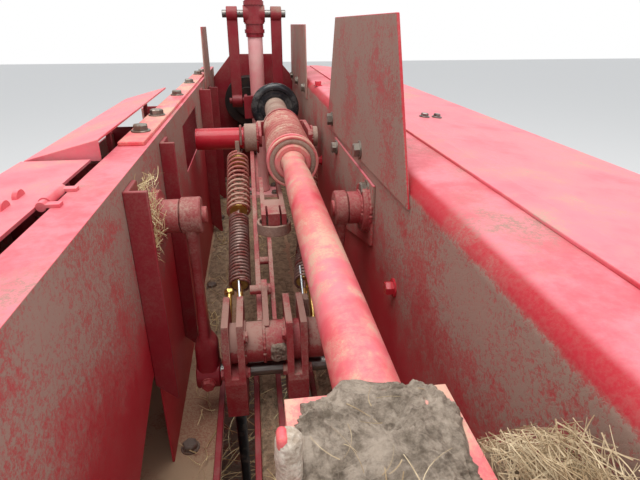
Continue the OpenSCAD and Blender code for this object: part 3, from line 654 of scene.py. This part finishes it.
def lever_forging(x_top, x_low, top, low):
    """Forged lever between two turned eyes, whose ends along X are `top` and `low`.

    A rounded bar falls from the upper eye to 8 mm below the lower pivot and bows by 7 mm times
    sin(pi t). It is 36 mm wide at both ends and 23 mm at the neck; its thickness goes from 16 to
    11.6 mm and steps up to the low eye's length, less 1 mm, by a smoothstep at three quarters.
    """
    t = np.linspace(0, 1, 70)
    step = np.clip((t - 0.71) / 0.07, 0, 1)
    step = step * step * (3 - 2 * step)
    x = x_top + (x_low - x_top) * step
    fall = BAR_Z - LOW_Z + 8.0
    path = np.stack([x, FRONT_Y + 7 * np.sin(np.pi * t), BAR_Z - fall * t], -1)
    wide = 18 - 6.5 * np.sin(np.pi * np.clip(t / 0.8, 0, 1)) ** 1.5
    boss = (low[1] - low[0]) / 2 - 8.5
    thick = 8 - 2.2 * np.sin(np.pi * np.clip(t / 0.75, 0, 1)) + boss * step
    thick = thick * (1 - 0.25 * np.clip((t - 0.93) / 0.07, 0, 1) ** 2)
    parts = [sweep(path, soft_outline(2.0, 2.0, 28, 3.6), X, np.stack([wide, thick], -1))]
    for (x0, x1), r, bore, z in ((top, 22, 10.4, BAR_Z), (low, 20, 10.1, LOW_Z)):
        eye = [(x0, bore), (x0, r - 1.5), (x0 + 1.5, r), (x1 - 1.5, r), (x1, r - 1.5), (x1, bore)]
        parts.append(turned(eye, (0, FRONT_Y, z), X, 40))
    return together(*parts)


def tine_forging(x, y, z):
    """Feeder tine: a rounded bar that narrows from 32 x 16 mm to 15 x 12 mm and a blunt tip, 50 mm
    over the pan. Its middle line falls evenly and leans away by 3.2 t + 5 t^2 mm."""
    t = np.linspace(0, 1, 40)
    tip_z = PAN_TOP + 50.0
    path = np.stack([np.full_like(t, x), y + 3.2 * t + 5.0 * t**2, z - (z - tip_z) * t], -1)
    size = np.stack([16 - 8.6 * t**2, 8 - 2.0 * t], -1)
    size[-1] *= 0.55
    return sweep(path, soft_outline(2.0, 2.0, 24, 4.0), X, size)


piece("forged_levers", *together(lever_forging(-89, -88, (-99, -75), (-104, -72)),
                                 lever_forging(92, 91, (85, 100), (78, 104))),
      paint_lever_shaded_low, "front_rocker", "red_paint", ("front_levers",), sharp=40)
for side, y, z in (("inner", FRONT_Y, DECK_TOP + 10), ("outer", NEAR_Y + 55, DECK_TOP + 90)):
    piece(side + "_tine_forgings", *together(*[tine_forging(x, y, z) for x in SLOT_X]),
          black_tine, "carriage", "black_paint", (side + "_tines",), sharp=40)

# ---- springs

# top eye, low eye and outer diameter of the upper spring, for the left and the right pair
SPRINGS = [(np.array([-42, 94, 628]), np.array([-42, -242, 483]), 42.0),
           (np.array([103, 94, 602]), np.array([51, -242, 483]), 33.0)]
LOW_OD = 34.0


def spring(start, end, outer, wire, turns, sides=12):
    """Round wire on a closed-end helix between two points."""
    path, out = coil_path(start, end, (outer - wire) / 2, turns)
    return sweep(path, round_outline(wire / 2, sides), out)


piece("overload_spring_wire",
      *spring((BAR_X, COIL_Y + 6, BAR_Z), (BAR_X, YOKE_Y - 6, BAR_Z), outer=82, wire=12, turns=12),
      coil_steel, "carriage", "spring_steel", ("overload_spring",))
upper = [spring(a + (b - a) * 0.053, a + (b - a) * 0.457, outer, wire=4.4, turns=12.5)
         for a, b, outer in SPRINGS]
lower = [spring(a + (b - a) * 0.503, a + (b - a) * 0.897, LOW_OD, wire=4.0, turns=23, sides=10)
         for a, b, _ in SPRINGS]
piece("upper_spring_wire", *together(*upper), coil_steel, "carriage", "spring_steel",
      ("upper_tension_springs",))
piece("lower_spring_wire", *together(*lower), grey_spring, "carriage", "spring_steel",
      ("lower_tension_springs",))

# ---- spring seat, hooks and anchors

# Outer line of the spring seat, as places past SEAT_Y: a collar, then two flanges of 86 mm across
# with rolled lips.
SEAT_ROWS = [(-6, 21.3), (-6, 27.5), (-4, 29.6), (-0.5, 30), (0, 31), (0, 38.5), (-1.5, 40),
             (-1.5, 42), (0, 43), (7, 43), (8, 42), (8, 28.5), (18, 28.5), (18, 42), (19, 43),
             (23, 43), (24, 42), (24, 21.3)]
# Outer line of the dust that lies in the seat's dish: a thin ring with a feathered edge.
DISH_ROWS = [(-0.1, 30.4), (-1.6, 31.5), (-1.9, 34), (-1.3, 37), (-0.1, 38.3)]
SEAT_LINE = (BAR_X, SEAT_Y, BAR_Z)
piece("spring_seat_flanges", *turned(SEAT_ROWS, SEAT_LINE, Y, 72), paint_bar, "carriage",
      "dusty_steel", ("spring_seat",), sharp=30)
piece("seat_dish_dust", *turned(DISH_ROWS, SEAT_LINE, Y, 72), dust_coat, "carriage",
      "dusty_steel", sharp=60)


def hook_wire(x, start_angle, to):
    """Wire hook: an arc of 24 mm round the upper cross tube from an angle to 200 degrees, with a
    straight tail from the arc's start to the spring's end ring."""
    ring = arc_path((x, HUB_Y, BAR_Z), 24.0, Y, Z, start_angle, 200, 44)
    share = np.linspace(0, 1, 8)[:-1, None]
    tail = np.asarray(to, float) * (1 - share) + ring[0] * share
    return sweep(np.vstack([tail, ring]), round_outline(2.3, 10), X)


def eye_wire(centre, radius):
    """End ring of a spring: a full circle of 3.6 mm wire in the length-height plane."""
    return sweep(arc_path(centre, radius, Y, Z, 20, 372, 40), round_outline(1.8, 10), X)


# share of the way down a pair of springs and radius of each end ring
EYES = (0.035, 9.0), (0.48, 8.0), (0.915, 8.0)
ends = [eye_wire(a + (b - a) * share, r) for a, b, _ in SPRINGS for share, r in EYES]
piece("spring_hook_wires", *together(hook_wire(-34.5, -112, (-39, 84, 622)), *ends), grey_spring,
      "carriage", "spring_steel", sharp=50)


def guide_strip(x_top, x_low):
    """Flat strip of 15 x 2.6 mm with soft edges, its width across the trough; its path goes
    straight from knot to knot, down to the clamps."""
    knots = np.array([(x_top, -190, 512), (x_top, -214, 500), (x_low, -240.5, 482)], float)
    t = np.linspace(0, 2, 24)
    path = np.stack([np.interp(t, np.arange(3), knots[:, k]) for k in range(3)], -1)
    return sweep(path, soft_outline(15.0, 2.6, 16, 6.0), X)


ROD_X = (-58.5, 66.0)
rods = [rod((x, -212, 489), (x - 1.5, -261, 455), 4.4) for x in ROD_X]
nuts = bolts([((x, -214, 488), (0, 0.82, 0.57), 10) for x in ROD_X], flats=13.0, height=5.0,
             washer=15.0)
piece("adjusting_rods", *together(*rods, nuts), gold_zinc, "carriage", "zinc", sharp=40)
piece("spring_guide_strips", *together(guide_strip(-43, -42), guide_strip(51, 51)), pale_zinc,
      "carriage", "zinc", sharp=40)

# ---- weld beads


def ring_bead(centre, radius, normal, seed):
    """Weld bead on a circle in the plane across `normal`: an eight-sided round of 2.1 mm radius
    times 1 + 0.14 sin(s / 1.1 mm) and a wander of a tenth, half of it sunk in the joint."""
    steps = int(radius * math.radians(357) / 1.1)
    path = arc_path(centre, radius, *across(normal), 0, 357, steps)
    s = np.concatenate([[0], np.cumsum(np.linalg.norm(np.diff(path, axis=0), axis=1))])
    size = 2.1 * (1 + 0.14 * np.sin(s / 1.1) + 0.1 * rough(path, 30.0, seed, 2))
    size[[0, -1]] *= 0.4
    return sweep(path, round_outline(1.0, 8), normal, size)


# centre, radius, axis and seed of each ring
TROUGH_WELDS = [((-WALL_X + 0.3, FRONT_Y, BAR_Z), 32.2, X, 1),
                ((-WALL_X + 8.3, FRONT_Y, BAR_Z), 20.3, X, 2),
                ((WALL_X - 4.3, FRONT_Y, BAR_Z), 30.2, X, 3),
                ((WALL_X - 12.3, FRONT_Y, BAR_Z), 20.3, X, 4),
                ((POST_X, REAR_Y, DECK_TOP + 10.3), 21.5, Z, 5)]
CARRIAGE_WELDS = [((x, FRONT_Y, TUBE_Z), 27.8, X, seed) for x, seed in
                  ((-64.3, 6), (-35.7, 7), (18.7, 8), (47.3, 9), (-9.7, 11))]
CARRIAGE_WELDS += [((x, HUB_Y, BAR_Z), r, X, seed) for x, r, seed in
                   ((-1.4, 28.2, 12), (-27.2, 21.2, 13), (107.4, 20.2, 14))]
CARRIAGE_WELDS += [((BAR_X, NEAR_Y + 90.4, BAR_Z), 21.7, Y, 15)]
for name, welds, body in (("trough_weld_beads", TROUGH_WELDS, "channel"),
                          ("carriage_weld_beads", CARRIAGE_WELDS, "carriage")):
    piece(name, *together(*[ring_bead(*weld) for weld in welds]), paint_part, body, "red_paint",
          sharp=180)

# ---- mud, dust heaps and straw


def clod(low, high, thick, seed, rows, cols):
    """Crust of dried mud over a box: superellipsoid grid pushed out by noise.

    Point = centre + half size sign(d) (cos^p b cos^p a, cos^p b sin^p a, sin^p b) + d h, where d
    is the direction, p 0.35 and h the sum of 46 mm lumps and 7 mm crumbs, in shares of `thick`.
    """
    low, high, p = np.asarray(low, float), np.asarray(high, float), 0.35
    b = np.linspace(-np.pi / 2, np.pi / 2, rows)[:, None]
    a = np.linspace(0, 2 * np.pi, cols, endpoint=False)[None, :]
    cb, sb, ca, sa = np.cos(b), np.sin(b), np.cos(a), np.sin(a)
    d = np.stack([cb * ca, cb * sa, sb + 0 * a], -1)
    shape = [abs(cb) ** p * abs(ca) ** p, abs(cb) ** p * abs(sa) ** p, abs(sb) ** p + 0 * a]
    points = (low + high) / 2 + (high - low) / 2 * np.sign(d) * np.stack(shape, -1)
    lump = rough(points, 46.0, seed) * thick * 0.5
    crumbs = rough(points, 7.0, seed + 1, 3) * thick * 0.16
    points = points + d * (lump + crumbs + thick * 0.25)[..., None]
    points[0], points[-1] = points[0].mean(0), points[-1].mean(0)
    return points.reshape(-1, 3), quads(rows, cols, wrap_cols=True).tolist()


def crusted_pin(x, y, z0, z1, radius, seed):
    """Upright pin under a crust: a turned solid with a domed end, pushed out by noise."""
    dome_z = z1 - radius * 0.7
    dome = dome_z + radius * 0.7 * np.sin(np.linspace(0, np.pi / 2, 12)[1:])
    z = np.concatenate([np.linspace(z0, dome_z, 40), dome])
    fall = np.clip((z - dome_z) / (radius * 0.7), 0, 1)
    rows = np.stack([z - z0, radius * np.sqrt(np.clip(1 - fall**2, 0.0004, 1))], -1)
    rows = np.vstack([[(0, 0.02)], rows, [(z1 - z0, 0.02)]])
    points, faces = turned(rows, (x, y, z0), Z, 48)
    out = points - (x, y, 0)
    out[:, 2] = 0
    reach = np.linalg.norm(out, axis=1, keepdims=True)
    swell = 1 + 0.09 * rough(points, 16.0, seed) + 0.05 * rough(points, 4.0, seed + 1)
    return np.where(reach > 0.1, points - out + out * swell[:, None], points), faces


def heap(y0, y1, x0, x1, height, seed, rows, cols):
    """Dust heap on the deck: height times sides that rise evenly to 1, and noise, over a rectangle
    whose border lies 0.4 mm under the deck's top face; the underside is flat."""
    u = np.linspace(0, 1, rows)[:, None]
    v = np.linspace(0, 1, cols)[None, :]
    x, y = x0 + (x1 - x0) * u + 0 * v, y0 + (y1 - y0) * v + 0 * u
    rim = np.clip(np.minimum(u, 1 - u) * 4, 0, 1) * np.clip(np.minimum(v, 1 - v) * 12, 0, 1)
    p = np.stack([x, y, 0 * x], -1)
    lumps = 0.55 + 0.6 * rough(p, 60.0, seed) + 0.12 * rough(p, 9.0, seed + 1)
    top = DECK_TOP - 0.4 + rim * height * np.clip(lumps, 0.02, 2)
    upper = np.stack([x, y, top], -1).reshape(-1, 3)
    lower = np.stack([x, y, np.full_like(top, DECK_TOP - 0.9)], -1).reshape(-1, 3)
    grid = quads(rows, cols)
    n = rows * cols
    edge = np.concatenate([np.arange(cols), np.arange(1, rows) * cols + cols - 1,
                           n - 2 - np.arange(cols - 1), np.arange(rows - 2, 0, -1) * cols])
    after = np.roll(edge, -1)
    wall = np.stack([edge, after, after + n, edge + n], -1)
    return np.vstack([upper, lower]), np.vstack([grid, grid[:, ::-1] + n, wall]).tolist()


def straw_bed(count, low, high, lengths, radius, seed, flat, hold, along=1.0, lid=None, gaps=()):
    """Loose stalks whose roots fill a box; only those that lie wholly in the `hold` box stay.

    Directions are random, times `flat` in Z and `along` in Y. `lid` gives a falling top as its
    height at y 0 and its rise per length; `gaps` are slots to keep free.
    """
    rng = np.random.default_rng(seed)
    roots = rng.uniform(low, high, (count, 3))
    ways = rng.normal(size=(count, 3)) * (1, 1, flat)
    ways[:, 1] *= along
    stalks = straws(roots, ways, rng.uniform(*lengths, count), radius, 0.38, seed)
    good = ((stalks > hold[0]) & (stalks < hold[1])).all((1, 2))
    if lid is not None:
        good &= (stalks[..., 2] < lid[0] + lid[1] * stalks[..., 1]).all(1)
    for x in gaps:
        good &= (abs(stalks[..., 0] - x) > 25).all(1)
    kept = stalks[good]
    first = (np.arange(len(kept)) * 18)[:, None, None]
    faces = (quads(6, 3, wrap_cols=True)[None] + first).reshape(-1, 4).tolist()
    faces += (np.array([[2, 1, 0], [15, 16, 17]])[None] + first).reshape(-1, 3).tolist()
    return kept.reshape(-1, 3), faces


# low and high corner, thickness, seed, rows and columns
CLODS = [((5, -733, 648), (84, -659, 681), 11, 3, 150, 300),
         ((30, -676, 655), (68, -645, 677), 7, 9, 90, 160),
         ((-62, -716, 576), (-30, -664, 590), 8, 5, 70, 120),
         ((0, -337, 452), (20, -326, 474), 5, 17, 60, 100)]
piece("mud_on_bracket", *together(*[clod(*row) for row in CLODS]), mud, "carriage",
      "dusty_steel", sharp=180)
piece("crusted_lug_pin", *crusted_pin(-1.0, -704, 628, 704, 6.0, 41), pale_mud, "carriage",
      "dusty_steel", sharp=60)
piece("bracket_ears", *together(block((69, -676, 674), (77, -671, 684), 2.4),
                                block((-6, -709, 697), (-1, -700, 705), 2.2)),
      paint_bar, "carriage", "red_paint", sharp=60)

# near and far end, left and right side, height, seed, rows and columns
HEAPS = [(-150, 830, -126, -66, 9, 21, 46, 240), (-150, 830, 60, 126, 9, 22, 46, 240),
         (-150, 600, -60, 58, 5, 23, 56, 200), (-860, -160, 66, 126, 8, 24, 46, 180),
         (-820, -160, -22, 6, 4, 25, 24, 160)]
piece("deck_dust", *together(*[heap(*row) for row in HEAPS]), crust, "channel", "worn_steel",
      sharp=180)

piece("straw_on_pan",
      *straw_bed(4200, (-228, -860, PAN_TOP + 2), (228, 860, PAN_TOP + 17), (50, 190), 1.0, 31,
                 0.06, ((-234, -868, PAN_TOP + 0.6), (236, 866, PAN_TOP + 29))),
      straw, "channel", "worn_steel", sharp=60)
piece("straw_on_deck",
      *straw_bed(2600, (-122, -860, DECK_TOP + 1.5), (122, 830, DECK_TOP + 10), (15, 60), 0.8, 32,
                 0.08, ((-126, -866, DECK_TOP + 0.6), (126, 830, DECK_TOP + 16)), gaps=SLOT_X),
      straw, "channel", "worn_steel", sharp=60)
# The hay's top falls 1.25 for each length away from the near end and is 632 high at y -655.
HAY_LID = (632 - 1.25 * 655, -1.25)
piece("hay_by_bracket",
      *straw_bed(11000, (91, -800, 600), (123, -652, 716), (12, 45), 0.36, 33, 0.5,
                 ((88, -866, 600), (125.5, -640, 724)), along=1.4, lid=HAY_LID),
      hay, "carriage", "dusty_steel", sharp=60)
# near and far end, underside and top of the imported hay's three lumps, and their seeds
MATS = [(-716, -664, 600, 636, 51), (-752, -696, 612, 672, 52), (-800, -734, 630, 698, 53)]
mats = [clod((91, y0, z0), (122, y1, z1), 9, seed, 60, 120) for y0, y1, z0, z1, seed in MATS]
piece("hay_mat", *together(*mats), crust, "carriage", "dusty_steel", sharp=180)
piece("straw_on_mud",
      *straw_bed(18, (12, -728, 684), (76, -662, 692), (6, 30), 0.3, 36, 0.3,
                 ((5, -745, 680), (92, -640, 700))),
      hay, "carriage", "dusty_steel", sharp=60)
piece("chaff_on_wall",
      *straw_bed(380, (-127, -398, 640), (-112, -345, 722), (8, 30), 0.42, 35, 1.0,
                 ((-128.6, -420, 620), (-104, -330, 728))),
      straw, "channel", "worn_steel", sharp=60)

# ---- bolts

STRAP_TOP = WALL_TOP + 5
# left flange and its strap
trough_bolts = [((-149, y, STRAP_TOP), UP, a) for y, a in
                ((-222, 10), (-104, 34), (120, 5), (330, 20), (540, 48))]
trough_bolts += [((-149, y, WALL_TOP), UP, a) for y, a in ((-830, 12), (660, 22), (840, 3))]
# right wall's upper edge and its pivot plate
trough_bolts += [((126, y, 712), LEFT, a) for y, a in
                 ((-255, 14), (-30, 40), (420, 20), (600, 50), (760, 5))]
trough_bolts += [((125, y, z), LEFT, a) for y, z, a in
                 ((-308, 676, 0), (-86, 676, 12), (-168, 590, 24))]
# left stiffeners and far guard
trough_bolts += [((-124, y, z), RIGHT, 30) for y, z in
                 ((-400, 540), (-400, 690), (-202, 460), (-202, 690), (348, 400), (348, 655),
                  (605, 400))]
# deck, post foot and near end plate
trough_bolts += [((x, y, DECK_TOP), UP, 20) for x in (-112, 112)
                 for y in (-780, -380, 40, 430, 780)]
trough_bolts += [((POST_X + x, REAR_Y + y, DECK_TOP + 10), UP, 15) for x in (-38, 38)
                 for y in (-38, 38)]
trough_bolts += [((x, -HALF_LEN, z), NEAR, 9) for x in (-225, -120, 0, 120, 200)
                 for z in (85, 340)]
# right cover's outer edge, channel posts and side panel
trough_bolts += [((395, y, 695), RIGHT, 18) for y in (-780, -260, 260, 780)]
trough_bolts += [((240, y, z), RIGHT, 7) for y in (-860, 0, 852) for z in (90, 330)]
trough_bolts += [((-244, y, z), LEFT, 12) for y in (-790, -500, -280, -100, 250)
                 for z in (380, 560)]
piece("trough_bolts", *bolts(trough_bolts, flats=17.0, height=7.0, washer=24.0),
      bolt_steel, "channel", "zinc", sharp=30)

COVER_UP = (0.11, 0, 1)  # the right cover's normal, not at unit length
sheet_bolts = [((251, -138, 731.0), COVER_UP, 5), ((273, -132, 728.6), COVER_UP, 30)]
sheet_bolts += [((251, y, 731.0), COVER_UP, 5) for y in (-700, 260, 620)]
piece("sheet_bolts", *bolts(sheet_bolts, flats=10.0, height=4.0, washer=16.0),
      shaft_steel, "channel", "zinc", sharp=30)
painted = [((WALL_X, -429, 607), LEFT, 22), ((WALL_X, -560, 470), LEFT, 5),
           ((143, 281, WALL_TOP), UP, 11), ((WALL_X, 120, 600), LEFT, 40)]
piece("painted_bolts", *bolts(painted, flats=13.0, height=8.0, washer=20.0),
      paint_gloss, "channel", "red_paint", sharp=30)
clamp_bolts = [((x, -330, z), way, 20) for x, z, way in
               ((-64, 432, LEFT), (-36, 432, RIGHT), (19, 432, LEFT), (47, 432, RIGHT),
                (-36, 490, RIGHT), (19, 490, LEFT))]
clamp_bolts += [((-2, -262, 520), RIGHT, 8)]
piece("clamp_bolts", *bolts(clamp_bolts, flats=13.0, height=3.6, washer=17.0),
      paint_part, "carriage", "red_paint", sharp=30)
foot_bolts = [((x, FRONT_Y - 19.6, LOW_Z - 3), NEAR, 14) for x in (-88, 91)]
piece("lever_foot_bolts", *bolts(foot_bolts, flats=15.0, height=6.0, washer=19.0),
      paint_part, "front_rocker", "red_paint", sharp=30)

# ---- stage, light and camera


def stage_floor():
    """Plain pale floor, a flat square 24 m wide."""
    material, tree, _ = new_material("pale_matt_floor")
    look = add(tree, "BsdfPrincipled", Base_Color=linear("#e9e8e6"), Roughness=0.9)
    add(tree, "OutputMaterial", None, look)
    s = 12.0
    mesh = bpy.data.meshes.new("floor")
    mesh.from_pydata([(-s, -s, 0), (s, -s, 0), (s, s, 0), (-s, s, 0)], [], [(0, 1, 2, 3)])
    mesh.materials.append(material)
    new_object("floor", mesh)


def sky():
    """Soft even light from all round, seen by the camera and in gloss as plain white."""
    world = bpy.data.worlds.new("studio")
    bpy.context.scene.world = world
    world.use_nodes = True
    tree = world.node_tree
    tree.nodes.clear()
    rays = add(tree, "LightPath").node.outputs
    seen = rays["Is Camera Ray"]
    for kind in ("Is Transmission Ray", "Is Glossy Ray"):
        seen = add(tree, "Math", {"operation": "MAXIMUM"}, seen, rays[kind])
    light = add(tree, "Background", Color=(0.93, 0.96, 1.0, 1.0), Strength=0.78)
    white = add(tree, "Background", Color=(1.0, 1.0, 1.0, 1.0), Strength=1.0)
    add(tree, "OutputWorld", None, add(tree, "MixShader", None, seen, light, white))


def lamp(name, place, aim, size, power, tint):
    """Rectangular area light at a place, turned to its aim."""
    data = bpy.data.lights.new(name, "AREA")
    data.shape = "RECTANGLE"
    data.size, data.size_y = size
    data.energy = power
    data.color = tint
    obj = new_object(name, data)
    way = np.asarray(aim, float) - np.asarray(place, float)
    flat = math.hypot(way[0], way[1])
    obj.location = place
    spin = math.atan2(way[1], way[0]) - math.pi / 2
    obj.rotation_euler = (math.atan2(flat, -way[2]), 0.0, spin)


def photo_camera():
    """Camera above the trough's near end, 24.2 degrees down and 7.8 to the right."""
    data = bpy.data.cameras.new("photo_camera")
    data.lens = 27.0
    data.sensor_width = 36.0
    data.clip_start = 0.01
    obj = new_object("photo_camera", data)
    obj.location = (-0.008, -0.855, 0.860)
    obj.rotation_euler = (math.radians(90 - 24.2), 0.0, math.radians(-7.8))
    bpy.context.scene.camera = obj


stage_floor()
sky()
lamp("key_soft", (-0.25, -0.5, 3.3), (0.0, 0.1, 0.4), (1.6, 2.8), 66.0, (1.0, 0.98, 0.95))
lamp("fill_soft", (2.4, -1.8, 2.4), (0.1, 0.0, 0.6), (2.2, 2.2), 26.0, (0.95, 0.97, 1.0))
photo_camera()
bpy.context.scene.view_settings.view_transform = "Standard"
